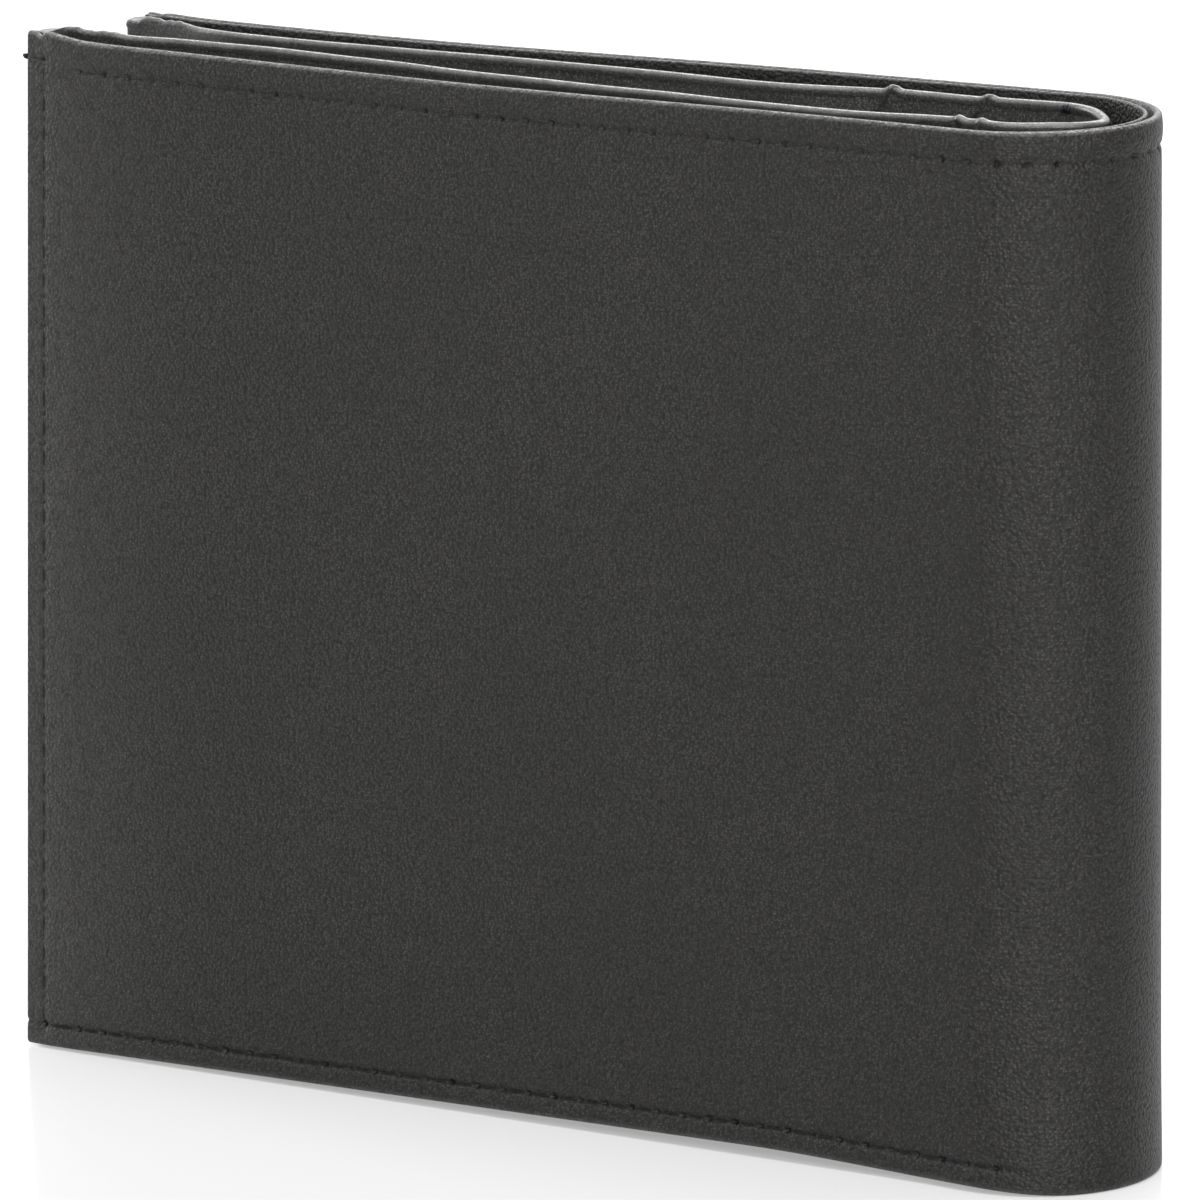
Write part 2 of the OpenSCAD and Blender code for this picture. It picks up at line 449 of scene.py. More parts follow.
def leather(name, colour, worn_and_highlit, grain, relief, roughness, specular):
    """Fine pebbled leather: small cells with painted highlights on their tops, painted shade in
    their gaps and pale painted glints, and edges paler from wear and a painted highlight.
    """
    m = Nodes(name)
    flat = m.surface()
    # the cells are shifted about by a noise, so that they don't look like a grid
    soft = m.add("ShaderNodeTexNoise", noise_dimensions="2D")
    soft.inputs["Scale"].default_value = 0.6 / grain
    m.link(flat, soft.inputs["Vector"])
    drift = m.add("ShaderNodeVectorMath", operation="SCALE")
    m.link(soft.outputs["Color"], drift.inputs[0])
    drift.inputs["Scale"].default_value = 0.6 * grain
    warped = m.add("ShaderNodeVectorMath", operation="ADD")
    m.link(flat, warped.inputs[0])
    m.link(drift.outputs[0], warped.inputs[1])
    pebbles, _ = m.cells(warped.outputs[0], 1 / grain, "SMOOTH_F1")
    from_top, any_tone = m.cells(warped.outputs[0], 1.25 / grain, "F1")
    fine = m.noise(flat, 1.3 / grain, 3, 0.65)
    broad = m.noise(flat, 0.12 / grain, 3)
    patches = m.noise(flat, PATCHES, 2)
    height_value = m.math("MULTIPLY_ADD", fine, 0.6, m.math("SUBTRACT", 1.0, pebbles))
    height_value = m.math("MULTIPLY_ADD", broad, 0.4, height_value)
    edge = m.add("ShaderNodeAttribute", attribute_name="wear_and_highlight").outputs["Fac"]
    patchy = m.math("MULTIPLY", edge, m.ramp(m.noise(flat, BREAKS, 2), [(0.3, 0.35), (0.7, 1.0)]))
    # pebble tops lighter as a painted highlight, gaps darker as painted shade
    top = times(colour, PEBBLE_TOP_HIGHLIGHT)
    lit_and_shaded_pebbles = m.ramp(pebbles, [(0.0, top), (0.9, times(colour, PEBBLE_GAP_SHADE))])
    mottled = m.mix(m.ramp(broad, [(0.35, 0.1), (0.65, 0.3)]), lit_and_shaded_pebbles, top)
    # pale painted glints on the pebbles' tops
    painted_glints = m.math("MULTIPLY", m.ramp(from_top, [(0.12, 1.0), (0.5, 0.0)]),
                    m.ramp(any_tone, [(0.35, 0.0), (0.8, 1.0)]))
    painted_glints = m.math("MULTIPLY", painted_glints, m.ramp(patches, [(0.35, 0.72), (0.65, 1.0)]))
    with_glints = m.mix(painted_glints, mottled, times(colour, GLINT_TONE))
    # edges turn towards the worn colour: partly wear, partly a painted highlight
    m.set("Base Color", m.mix(patchy, with_glints, worn_and_highlit))
    rough = m.math("MULTIPLY_ADD", pebbles, 0.25, roughness - 0.09)
    m.set("Roughness", m.math("MULTIPLY_ADD", edge, -0.14, rough))
    m.set("Specular IOR Level", specular)
    m.set("Normal", m.bump(height_value, relief))
    return m.material


def woven(name, colour, count):
    """Plain weave with that many threads to the metre."""
    m = Nodes(name)
    flat = m.surface((count, count, 1))
    part = m.add("ShaderNodeSeparateXYZ")
    m.link(flat, part.inputs[0])
    across = m.math("ABSOLUTE", m.math("SINE", m.math("MULTIPLY", part.outputs[0], math.pi)))
    along = m.math("ABSOLUTE", m.math("SINE", m.math("MULTIPLY", part.outputs[1], math.pi)))
    checker = m.add("ShaderNodeTexChecker")
    checker.inputs["Scale"].default_value = 1.0
    m.link(flat, checker.inputs["Vector"])
    over = m.mix(checker.outputs["Fac"], across, along)
    slub = m.noise(m.surface(), 700, 3)
    m.set("Base Color", m.mix(m.math("MULTIPLY", over, slub), times(colour, 0.55), colour))
    m.set("Roughness", m.math("MULTIPLY_ADD", slub, 0.2, 0.6))
    m.set("Sheen Weight", 0.15)
    m.set("Normal", m.bump(over, 0.08 * MM))
    return m.material


def twisted(name, colour):
    """Thread of two plies: slanting bands along it."""
    m = Nodes(name)
    flat = m.surface()
    wave = m.add("ShaderNodeTexWave", wave_type="BANDS", bands_direction="DIAGONAL")
    wave.inputs["Scale"].default_value = 900
    wave.inputs["Distortion"].default_value = 0.6
    m.link(flat, wave.inputs["Vector"])
    fuzz = m.noise(flat, 6000, 2)
    m.set("Base Color", m.mix(wave.outputs["Fac"], times(colour, 0.5), colour))
    m.set("Roughness", m.math("MULTIPLY_ADD", fuzz, 0.2, 0.55))
    m.set("Specular IOR Level", 0.25)
    m.set("Normal", m.bump(wave.outputs["Fac"], 0.05 * MM))
    return m.material


cover_leather = leather(
    "cover_leather",
    colour=(0.0097, 0.0093, 0.0087),
    worn_and_highlit=(0.08, 0.079, 0.077),
    grain=0.33 * MM,
    relief=0.12 * MM,
    roughness=0.46,
    specular=0.25,
)
divider_leather = leather(
    "divider_leather",
    colour=(0.026, 0.0252, 0.0246),
    worn_and_highlit=(0.098, 0.096, 0.094),
    grain=0.26 * MM,
    relief=0.03 * MM,
    roughness=0.44,
    specular=0.45,
)
pocket_leather = leather(
    "pocket_leather",
    colour=(0.02, 0.0195, 0.019),
    worn_and_highlit=(0.07, 0.069, 0.068),
    grain=0.3 * MM,
    relief=0.06 * MM,
    roughness=0.48,
    specular=0.4,
)
lining_material = woven("lining", (0.03, 0.03, 0.033), count=3200)
thread_material = twisted("thread", (0.009, 0.0095, 0.013))

# ---- stitch places
hole_count = int((wallet_end - 2 * SEAM_ROW) / PITCH)
hem_holes = (np.arange(-hole_count, hole_count) + 0.5) * PITCH
low_count = int((wallet_end - SEAM_ROW) / PITCH)
low_holes = (np.arange(-low_count, low_count) + 0.5) * PITCH
low_holes = low_holes[np.abs(low_holes) > STITCHES_END]
low_holes = np.concatenate([[SEAM_ROW - wallet_end], low_holes, [wallet_end - SEAM_ROW]])
side_holes = np.arange(SEAM_ROW, height - 1.1 * MM, PITCH)
# How hard each hole is pulled: harder along the hem where it starts to bend
hem_pull = rng.uniform(0.6, 1.35, len(hem_holes))
hem_pull = hem_pull * (1 + 1.2 * bell(np.abs(hem_holes) - bend_end + 3 * MM, 5 * MM))
low_pull = rng.uniform(0.5, 1.8, len(low_holes))
side_pull = rng.uniform(0.7, 1.3, len(side_holes))


# Half widths of a row's groove and of its holes
GROOVE_WIDTH = 0.24 * MM
HOLE_WIDTH = 0.2 * MM
# Leather drawn in round a hole: depth, reach along the row and reach across
DRAWN = 0.06 * MM
DRAWN_ALONG = 0.6 * MM
DRAWN_ACROSS = 1.0 * MM
# A row's marks fade out between these distances past its last hole
FADE_FROM = 1.6 * MM
FADE_TO = 3 * MM
# Depths of each row's groove and holes
HEM_MARKS = (0.15 * MM, 0.27 * MM)
LOW_MARKS = (0.24 * MM, 0.36 * MM)
SIDE_MARKS = (0.045 * MM, 0.18 * MM)
# The padded band of the hem: height, distance of its middle above the row, half width
PAD = 0.1 * MM
PAD_UP = 1.35 * MM
PAD_WIDTH = 0.9 * MM


def nearest(values, holes, pull):
    """Distance to the nearest hole, and how hard that hole is pulled."""
    index = np.abs(np.asarray(values)[..., None] - holes).argmin(-1)
    return np.asarray(values) - holes[index], pull[index]


def stitch_marks(along, across, holes, pull, groove, hole):
    """Depth of a sewn row's groove, and of its holes with the leather drawn in round them."""
    near, strength = nearest(along, holes, pull)
    inside = smooth(along, holes[0] - FADE_TO, holes[0] - FADE_FROM)
    inside = inside * (1 - smooth(along, holes[-1] + FADE_FROM, holes[-1] + FADE_TO))
    row = groove * bell(across, GROOVE_WIDTH)
    dimple = hole * strength * bell(near, HOLE_WIDTH) * bell(across, HOLE_WIDTH)
    drawn = DRAWN * strength * bell(near, DRAWN_ALONG) * bell(across, DRAWN_ACROSS)
    return inside * (row + dimple + drawn)


def cover_marks(s, z):
    """Depth of the marks in the cover's outer face: sewn rows and the padded hem above one."""
    top = z - (height - HEM_ROW)
    side = from_edge(s)
    marks = stitch_marks(s, top, hem_holes, hem_pull, *HEM_MARKS)
    marks = marks - PAD * bell(top - PAD_UP, PAD_WIDTH) * smooth(side, 1 * MM, 3 * MM)
    for sign in (-1, 1):
        holes = low_holes[low_holes * sign > 0]
        pull = low_pull[low_holes * sign > 0]
        marks = marks + stitch_marks(s, z - SEAM_ROW, holes, pull, *LOW_MARKS)
    return marks + stitch_marks(z, side - SEAM_ROW, side_holes, side_pull, *SIDE_MARKS)


# ---- cover
def hole_columns(holes):
    return (holes[:, None] + np.array([-0.55, -0.3, -0.13, 0, 0.13, 0.3, 0.55]) * MM).ravel()


def both_ends(steps):
    """Places at those distances from each open edge."""
    return np.concatenate([wallet_end - steps, steps - wallet_end])


# Distances of columns from the open edge: close together at its rounding and its seam
EDGE_STEPS = np.array([0, 0.03, 0.1, 0.2, 0.33, 0.5, 0.75, 1.0, 1.25, 1.45, 1.6, 1.75, 1.9, 2.05,
                       2.2, 2.35, 2.6, 2.9]) * MM
cover_s = merged(
    hole_columns(hem_holes),
    spaced(-bend_end, bend_end, 0.45 * MM),
    both_ends(EDGE_STEPS),
    fold_cuts,
    gap=NEAREST,
)
# Radii of the cover's open edges, through its thickness and at the corners
EDGE_ROUND = 0.33 * MM
CORNER_ROUND = 0.35 * MM
# Painted highlight on the outer face near the open edges, and how far along the leaf it reaches
PAINTED_EDGE_SHEEN = 0.26
PAINTED_EDGE_SHEEN_REACH = 11 * MM
# Gap and depth of the crease behind the hem, and how much more they are round the spine
HEM_GAP = 0.02 * MM
SLACK_GAP = 0.4 * MM
CREASE = 0.1 * MM
SLACK_CREASE = 1.2 * MM
# How far the hem's inner layer stays below the outer one, and how much its lower edge is tucked
HEM_STEP = 0.1 * MM
HEM_TUCK = 0.1 * MM
# Depth, distance from the open edge and width of a notch in the top edge where the seam starts.
# Then the swelling after it, and the rear leaf's share of both
NOTCH = (0.35 * MM, 1.45 * MM, 0.3 * MM)
SWELLING = (0.16 * MM, 2.5 * MM, 0.6 * MM)
REAR_NOTCH = 0.3


def rounded_end(s, radius):
    """Share of a section's thickness left near the open edge, for a rounded end."""
    t = np.clip(from_edge(s) / radius, 0, 1)
    return np.clip(1 - (1 - t) ** 3, 0.004, 1) ** (1 / 3)


def corner_trim(s, radius):
    """How much a corner of that radius takes off the height near the open edge."""
    t = np.clip(1 - from_edge(s) / radius, 0, 1)
    return radius * (1 - np.sqrt(1 - t * t * 0.999))


def cover_rows():
    """Heights of the rows in the outer face: close together at the stitches and at the hem."""
    low = spaced(0.5 * MM, 4 * MM, 0.18 * MM)
    side = (side_holes[1:, None] + np.array([-0.32, 0, 0.32]) * MM).ravel()
    side = side[(side > 4.2 * MM) & (side < height - 5.2 * MM)]
    top = spaced(height - 5 * MM, height - 0.62 * MM, 0.17 * MM)
    return merged(low, side, top, gap=0.1 * MM)


def cover_section():
    """The cover's section, from the bottom of its outer face over the hem and down its inner face.

    Each entry is a depth, a height, shares of the hem's gap and of the crease's depth, the wear
    with its painted highlight, and 1 where the outer face's marks apply.
    """
    roll = COVER_T / 2
    inner_roll = HEM_T / 2
    section = [(0.0, z, 0, 0, 0, 1) for z in cover_rows()]
    # the roll over the top: its wear share is edge wear plus a painted highlight, strongest where
    # it faces up
    for a in np.radians(np.linspace(180, 20, 8)):
        section.append((roll + roll * math.cos(a), height - roll + roll * math.sin(a),
                        0, 0, math.sin(a) ** 0.5, smooth(-math.cos(a))))
    # the bottom of the crease behind the hem
    section.append((COVER_T + 0.01 * MM, height - roll, 0.35, 1, 0, 0))
    section.append((COVER_T + 0.03 * MM, height - roll, 0.65, 1, 0, 0))
    for a in np.radians(np.linspace(160, 0, 7)):
        section.append((COVER_T + LAYER_GAP + inner_roll + inner_roll * math.cos(a),
                        height - HEM_STEP - inner_roll + inner_roll * math.sin(a),
                        1, 0, 0.8 * max(0.0, math.sin(a)) ** 0.5, 0))
    hem_face = COVER_T + LAYER_GAP + HEM_T
    for z in np.linspace(height - 1 * MM, height - HEM_H, 10):
        share = (z - (height - HEM_H)) / HEM_H
        section.append((hem_face - HEM_TUCK * (1 - share), z, share, 0, 0, 0))
    section.append((COVER_T, height - HEM_H - 0.1 * MM, 0, 0, 0, 0))
    for z in np.linspace(height - HEM_H - 4 * MM, 0.2 * MM, 12):
        section.append((COVER_T, z, 0, 0, 0, 0))
    for a in np.radians(np.linspace(10, 170, 7)):
        section.append((roll + roll * math.cos(a), roll * 0.8 * (1 - math.sin(a)), 0, 0, 0.5, 0))
    return (np.array(column) for column in zip(*section))


def notch_depth(s):
    edge = from_edge(s)
    return (hump(edge, *NOTCH) - hump(edge, *SWELLING)) * on_side(s, 1, REAR_NOTCH)


def cover_layer():
    depth, z, gap, crease, wear_and_highlight, marked = cover_section()
    s = cover_s[:, None]
    near_spine = 1 - smooth(np.abs(s), 0.55 * bend_end, 0.95 * bend_end)
    middle = COVER_T / 2
    depths = middle + (depth - middle) * rounded_end(s, EDGE_ROUND)
    depths = depths + gap * (HEM_GAP + SLACK_GAP * near_spine)
    heights = z - crease * (CREASE + SLACK_CREASE * near_spine)
    heights = heights + (1 - 2 * np.clip(z / height, 0, 1)) * corner_trim(s, CORNER_ROUND)
    heights = heights - notch_depth(s) * smooth(z, height - 1.5 * MM, height - 0.3 * MM)
    depths = depths + marked * cover_marks(s, z) + sway(s, z)
    points = place(s, depths, lifted(s, heights))
    # a painted highlight near the open edges, added to the wear share
    painted_edge_sheen = PAINTED_EDGE_SHEEN * bell(from_edge(s), PAINTED_EDGE_SHEEN_REACH) * marked
    return swept_layer(cover_s, points, wear_and_highlight + painted_edge_sheen)


# ---- divider
# Radius of the divider's bend round the spine, and how far its nose reaches past it
DIVIDER_R = 5.5 * MM
NOSE = 1.5 * MM
# The divider's top edge stands this far above the cover's
DIVIDER_RISE = 0.02 * MM
# Depth of the divider where it is sewn in, and the thickness of its end wall
SEAM_DEPTH = 3.5 * MM
WALL_T = 1.6 * MM
# Where its walls start and stop flaring out to the bend's radius, and how much farther at the top
FLARE_START = (14 * MM, 30 * MM)
FLARE_STOP = (4 * MM, 12 * MM)
# How far the top of each wall leans away from the cover, how far along the leaf, and how widely
FRONT_LEAN = (-2.4 * MM, 45 * MM, 23 * MM)
REAR_LEAN = (2.1 * MM, 26 * MM, 9 * MM)


def bank_depth(s, z):
    """Depth of the divider's banknote side, which comes nearer the cover where it is sewn."""
    u = from_bend(s)
    high = smooth(z, 55 * MM, height)
    stop, start = (at + more * high for at, more in (FLARE_STOP, FLARE_START))
    flare = 1 - smooth(u, stop, start)
    middle = BANK_GAP + 3 * SLOT_T + SLIP_T + DIVIDER_T
    y = middle + (DIVIDER_R - middle) * flare
    leaf = bend_r - u * math.sin(lean) - y
    nose = DIVIDER_R + NOSE * bell(s / bend_r + math.radians(7), math.radians(27))
    full = np.where(np.abs(s) < bend_end, bend_r - nose, leaf)
    leans = on_side(s, hump(u, *FRONT_LEAN), hump(u, *REAR_LEAN))
    full = full + leans * smooth(z, 62 * MM, height)
    sewn = 1 - (1 - smooth(z, 1 * MM, 12 * MM)) * smooth(u, 2 * MM, 14 * MM)
    opening = smooth(from_edge(s), 0.5 * MM, 14 * MM) * sewn
    return SEAM_DEPTH + (full - SEAM_DEPTH) * opening


def divider_depth(s, z):
    """Depth of the divider's outer face, with its end wall and floor that reach the cover."""
    under_hem = smooth(z, height - HEM_H - 2 * MM, height - HEM_H)
    least = COVER_T + LINING_T + LAYER_GAP + (HEM_T - LINING_T + LAYER_GAP) * under_hem
    floor = (1 - smooth(z, 1.4 * MM, 1.9 * MM)) * smooth(from_bend(s), 3 * MM, 8 * MM)
    inside = smooth(from_edge(s), WALL_T, WALL_T + 0.4 * MM) * (1 - floor)
    return least + (bank_depth(s, z) - least) * inside


# Where lengths of the divider lap: place at the top edge, step, peak in that edge, and slant
FRONT_LAP = -(bend_end + 3.6 * MM)
LAPS = (
    (bend_end + 16 * MM, 0.3 * MM, 0.4 * MM, 0.8),
    (bend_end + 7 * MM, 0.34 * MM, 0.28 * MM, 0.8),
    (FRONT_LAP, -0.3 * MM, 0.25 * MM, 0.3),
    (FRONT_LAP + 2.3 * MM, -0.16 * MM, 0.2 * MM, -0.3),
)
# Height over which the laps slant
LAP_DEEP = 6 * MM
# Half the length over which a lap steps
LAP_SOFT = 0.12 * MM


def lap_depth(s, z):
    """Steps at the laps, slanting away from the top and gone towards the open edge."""
    down = np.clip(height - z, 0, LAP_DEEP)
    steps = sum(step * smooth(s - at - slant * down, -LAP_SOFT, LAP_SOFT)
                for at, step, _, slant in LAPS)
    return steps * smooth(z, 60 * MM, 80 * MM) * smooth(from_edge(s), 2 * MM, 30 * MM)


def edge_rise(s):
    """Unevenness of the divider's top edge."""
    laps = sum(hump(s, peak, at + 0.25 * MM, 0.5 * MM) for at, _, peak, _ in LAPS)
    # the lumpy corner where the leather is turned in, and the drop to its end wall
    edge = from_edge(s)
    wad = hump(edge, 0.2 * MM, 2.8 * MM, 1 * MM) + hump(edge, 0.24 * MM, 5.8 * MM, 1.5 * MM)
    lumps = np.sin(s / (0.19 * MM)) * hump(edge, 0.05 * MM, 4.5 * MM, 2.2 * MM)
    drop = 0.25 * MM * (1 - smooth(edge, 1.3 * MM, 1.8 * MM))
    # each leaf's edge rises along the leaf and dips near the bend
    u = from_bend(s)
    front = hump(u, 0.34 * MM, 60 * MM, 20 * MM) - hump(u, 0.24 * MM, 15 * MM, 9 * MM)
    rear = hump(u, 0.26 * MM, 60 * MM, 24 * MM) - hump(u, 0.17 * MM, 8 * MM, 9 * MM)
    return laps + wad + lumps - drop + on_side(s, front, rear)


def sheet_section(low, high, thickness, step, bead=0.0, fine=None):
    """Depth, height and wear with painted highlight round a thin sheet: its outer face, its top,
    its inner face.

    bead is how much thicker the top edge is, and fine gives more heights of rows.
    """
    r = thickness / 2
    rows = spaced(low + r, high - r - bead, step)
    if fine is not None:
        rows = merged(rows, fine, gap=0.1 * MM)
    section = [(0.0, z, 0.0) for z in rows]
    swell = r + bead / 2
    for a in np.radians(np.linspace(170, 10, 8)):
        # wear plus a painted highlight, strongest where the top faces up
        worn_and_highlit = max(0.0, math.sin(a)) ** 0.5
        section.append((r + swell * math.cos(a), high - swell + swell * math.sin(a), worn_and_highlit))
    section += [(thickness, z, 0.0) for z in rows[::-1]]
    for a in np.radians(np.linspace(10, 170, 5)):
        section.append((r + r * math.cos(a), low + r - r * math.sin(a), 0.3))
    return (np.array(column) for column in zip(*section))


def divider_columns():
    """Places of the columns: close together on the bend, at the laps and at the open edges."""
    laps = np.concatenate([
        at + np.sign(slant) * np.arange(-1.2, 1.2 + abs(slant) * 6, 0.12) * MM
        for at, _, _, slant in LAPS
    ])
    return merged(
        spaced(-wallet_end, wallet_end, 1.3 * MM),
        spaced(-bend_end, bend_end, 0.4 * MM),
        laps,
        both_ends(EDGE_STEPS),
        both_ends(spaced(0, 10 * MM, 0.3 * MM)),
        fold_cuts,
        gap=NEAREST,
    )


def divider_layer():
    fine = np.concatenate([spaced(height - LAP_DEEP, height - 0.7 * MM, 0.3 * MM),
                           spaced(1 * MM, 2.4 * MM, 0.2 * MM)])
    depth, z, wear_and_highlight = sheet_section(0.2 * MM, height + DIVIDER_RISE, DIVIDER_T, 2.2 * MM,
                                   bead=0.5 * MM, fine=fine)
    columns = divider_columns()
    s = columns[:, None]
    # from the outer face to the inner one, and past both by the bead
    share = np.clip(depth / DIVIDER_T, 0, 1)
    outer, inner = divider_depth(s, z), bank_depth(s, z) + DIVIDER_T
    depths = outer + (inner - outer) * share + (depth - share * DIVIDER_T)
    mid = (outer + inner) / 2
    depths = mid + (depths - mid) * rounded_end(s, 0.4 * MM)
    # the top edge is a little uneven
    top = smooth(z, height - 2.5 * MM, height - 0.5 * MM)
    shake = 0.06 * MM * np.sin(s / (3.1 * MM)) * np.sin(s / (7.3 * MM) + 1) * top
    depths = depths + lap_depth(s, z)
    heights = z + (edge_rise(s) + 0.5 * shake) * top
    points = place(s, depths + shake + sway(s, z), lifted(s, heights))
    # the turned corner is a dull wad, and the edge's wear and painted highlight start after it
    wear_and_highlight = wear_and_highlight * (0.05 + 0.95 * smooth(from_edge(s), 6 * MM, 8.5 * MM))
    return swept_layer(columns, points, wear_and_highlight)


# ---- linings
COVER_LINING_LOW = 0.7 * MM
COVER_LINING_HIGH = height - HEM_H + 0.8 * MM
COVER_LINING_END = wallet_end - 0.6 * MM


def cover_lining_layer():
    depth, z, wear_and_highlight = sheet_section(COVER_LINING_LOW, COVER_LINING_HIGH, LINING_T, 3 * MM)
    columns = merged(spaced(-COVER_LINING_END, COVER_LINING_END, 1.3 * MM),
                     spaced(-bend_end, bend_end, 0.8 * MM), fold_cuts, gap=NEAREST)
    s = columns[:, None]
    points = place(s, COVER_T + LINING_GAP + depth + sway(s, z), lifted(s, z))
    return swept_layer(columns, points, wear_and_highlight)


# Sign of a place on each leaf
SIGNS = {"front": -1, "rear": 1}


def leaf_sheet(name, side, columns, section, outer, material, dents=None):
    """A thin sheet on one leaf, with its outer face's depth and the dents in its inner one."""
    depth, z, wear_and_highlight = section
    places = np.sort(columns * SIGNS[side])
    s = places[:, None]
    depths = outer(s, z) + depth
    if dents is not None:
        inner = depth > depth.max() * 0.7
        depths = depths - inner * dents(s, z)
    points = place(s, depths + sway(s, z), lifted(s, z))
    layer = swept_layer(places, points, wear_and_highlight)
    piece = cut(layer, name, -wallet_end, wallet_end, material)
    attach(piece, f"{side}_leaf")
    return piece


def divider_lining(side):
    low, high = 3 * MM, height - 4 * MM
    section = sheet_section(low, high, LINING_T, 3 * MM)
    columns = spaced(bend_end + 1 * MM, wallet_end - 2.2 * MM, 1.5 * MM)

    def outer(s, z):
        return bank_depth(s, z) + lap_depth(s, z) - LINING_T - LINING_GAP

    piece = leaf_sheet(f"{side}_divider_lining_cloth", side, columns, section, outer,
                       lining_material)
    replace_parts(piece, f"{side}_divider_lining")


# ---- pockets
def bank_squeeze(s, z):
    """Share of a pocket layer's thickness, which is less near the seam."""
    edge = 1 - 0.4 * (1 - smooth(from_edge(s), 1 * MM, 6 * MM))
    return edge * (1 - 0.35 * (1 - smooth(z, 1 * MM, 7 * MM)))


def layer_thickness(k):
    return SLIP_T if k == 0 else SLOT_T


def layer_depth(k):
    """Depth function of pocket layer k's outer face: 0 is the slip pocket, then the slots."""
    before = 0 if k == 0 else SLIP_T + (k - 1) * SLOT_T

    def depth(s, z):
        return bank_depth(s, z) + DIVIDER_T + LAYER_GAP + before * bank_squeeze(s, z)
    return depth


# Ends of the pocket layers, and half width of the dents along their rows of stitches
POCKET_SPAN = (bend_end + pocket_end, wallet_end - POCKET_EDGE)
ROW_DENT = 0.35 * MM


def pocket(side, k):
    """Pocket layer k, with a crease below its mouth and dents along its rows of stitches."""
    mouth = mouths[k]
    fine = spaced(mouth - 3 * MM, mouth - 0.6 * MM, 0.25 * MM)
    section = sheet_section((0.3 + 0.1 * k) * MM, mouth, layer_thickness(k) - 2 * LAYER_GAP,
                            2.6 * MM, bead=0.12 * MM, fine=fine)
    first, last = POCKET_SPAN
    row = np.array([-0.5, -0.25, 0, 0.25, 0.5]) * MM
    end = np.array([0.1, 0.3, 0.7]) * MM
    columns = merged(spaced(first, last, 2 * MM), first + SEAM_ROW + row, last - SEAM_ROW + row,
                     first + end, last - end, gap=0.05 * MM)

    def dents(s, z):
        at = np.abs(s)
        crease = 0.12 * MM * bell(z - (mouth - 1.7 * MM), 0.3 * MM)
        rows = bell(at - first - SEAM_ROW, ROW_DENT) + bell(at - last + SEAM_ROW, ROW_DENT)
        ends = bell(at - first, 0.3 * MM) + bell(at - last, 0.3 * MM)
        return crease + 0.12 * MM * rows + 0.2 * MM * ends

    kind = pocket_kinds[k]
    piece = leaf_sheet(f"{side}_{kind}_leather", side, columns, section, layer_depth(k),
                       pocket_leather, dents)
    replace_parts(piece, f"{side}_{kind}")


# ---- threads
# Sides of a thread, rings along a stitch, and shares of a thread's radius at its ends
SIDES = 8
STITCH_RINGS = 7
TAPER = (0.55, 0.85, 1.0)
# How far inside its holes a stitch starts, in the seam less than in other rows
INSET = 0.3 * MM
SEAM_INSET = 0.2 * MM
# Depths of a stitch in the middle and at its ends
HEM_STITCH = (0.25 * MM, 0.5 * MM)
LOW_STITCH = (0.24 * MM, 0.55 * MM)
SIDE_STITCH = (0.13 * MM, 0.36 * MM)
INNER_STITCH = (0.06 * MM, -0.3 * MM)
# Height of the stitch that wraps the open edge, below the top
WRAP_DOWN = 2.3 * MM


def thread_mesh(name, lines, normals, radius, body=None, fold=None):
    """Short lengths of thread, each with its outward direction, as one piece."""
    points, faces, uv = [], [], []
    width = 2 * math.pi * radius / SIDES
    for line, normal in zip(lines, normals):
        rings = len(line)
        base = len(points)
        run = lengths(line)
        for i in range(rings):
            forward = line[min(i + 1, rings - 1)] - line[max(i - 1, 0)]
            forward = forward / np.linalg.norm(forward)
            across = np.cross(forward, normal)
            across = across / np.linalg.norm(across)
            out = np.cross(across, forward)
            end = min(i, rings - 1 - i)
            r = radius * TAPER[min(end, 2)]
            for k in range(SIDES):
                a = 2 * math.pi * k / SIDES
                points.append(line[i] + r * (math.cos(a) * out + math.sin(a) * across))
        for i in range(rings - 1):
            for k in range(SIDES):
                n = (k + 1) % SIDES
                faces.append([base + i * SIDES + k, base + i * SIDES + n,
                              base + (i + 1) * SIDES + n, base + (i + 1) * SIDES + k])
                uv += [(run[i], k * width), (run[i], (k + 1) * width),
                       (run[i + 1], (k + 1) * width), (run[i + 1], k * width)]
        faces.append([base + k for k in range(SIDES - 1, -1, -1)])
        faces.append([base + (rings - 1) * SIDES + k for k in range(SIDES)])
        uv += [(0, 0)] * (2 * SIDES)
    piece = finish_piece(name, np.array(points), faces, uv, thread_material)
    if fold is None:
        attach(piece, body)
    else:
        bend_over(piece)
    return piece


def stitch(s, z, proud, sunk):
    """A stitch's centreline between two places, lying proud in the middle and sunk at its ends."""
    t = np.linspace(0, 1, STITCH_RINGS)
    s = s[0] + (s[1] - s[0]) * t
    z = z[0] + (z[1] - z[0]) * t
    arch = np.sin(math.pi * t) ** 0.5
    return s, z, sunk + (proud - sunk) * arch


def outward(s, inwards=False):
    turn = min(abs(s) / bend_r, half_bend)
    sign = -1 if s < 0 else 1
    direction = np.array([math.cos(turn), sign * math.sin(turn), 0])
    return -direction if inwards else direction


def cover_line(s, z, depth):
    """Points of a line on the cover."""
    return place(s, depth + sway(s, z), lifted(s, z))


def cover_row(holes, z, inset, depths, low, high):
    """The part of a row along the cover that lies between two places."""
    lines, normals = [], []
    for a, b in zip(holes[:-1], holes[1:]):
        # the bottom row has a gap at the spine
        if low <= (a + b) / 2 < high and b - a < 1.6 * PITCH:
            lines.append(cover_line(*stitch((a + inset, b - inset), (z, z), *depths)))
            normals.append(outward((a + b) / 2))
    return lines, normals


def hem_stitches(low, high):
    return cover_row(hem_holes, height - HEM_ROW, INSET, HEM_STITCH, low, high)


def low_stitches(low, high):
    return cover_row(low_holes, SEAM_ROW, SEAM_INSET, LOW_STITCH, low, high)


